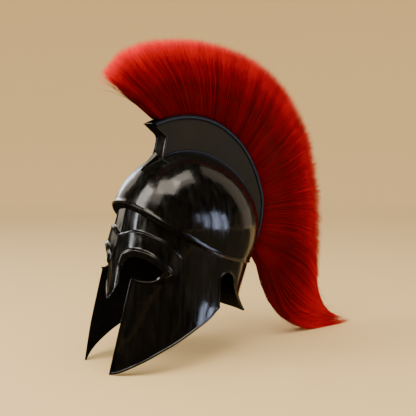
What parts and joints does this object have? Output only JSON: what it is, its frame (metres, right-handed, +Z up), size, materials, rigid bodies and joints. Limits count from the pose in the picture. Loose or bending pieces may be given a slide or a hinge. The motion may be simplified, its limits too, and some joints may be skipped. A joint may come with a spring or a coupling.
{
  "type": "corinthian helmet",
  "caption": "Corinthian helmet with long pointed cheeks, nasal, domed crown, open-topped crest box and a tall swept horsehair plume, at rest on its cheek tips and plume tail.",
  "frame": {"origin": "centre of the bounding box's underside, on the floor that the helmet rests on, between the cheek tips and the plume's tail", "axes": "+Z up from the floor, -Y the way the face looks, +Y to the plume's tail, +X to the wearer's left and the mirror plane at X = 0; the head frame leans back 15 degrees about X"},
  "size_m": [0.192, 0.489, 0.4858],
  "materials": {
    "black_enamelled_steel": "black enamel over pressed steel sheet, gloss, with soft dents and edge wear",
    "satin_black_steel": "satin olive-black side plates with gloss black rims",
    "red_horsehair": "dyed red horsehair, dark at the roots and bright at the tips"
  },
  "bodies": {
    "root": {"crown": "black_enamelled_steel", "face_guard": "black_enamelled_steel", "crest_holder": "satin_black_steel", "crest_front_plate": "black_enamelled_steel", "crest_foot": "black_enamelled_steel", "plume": "red_horsehair"}
  },
  "joints": []
}
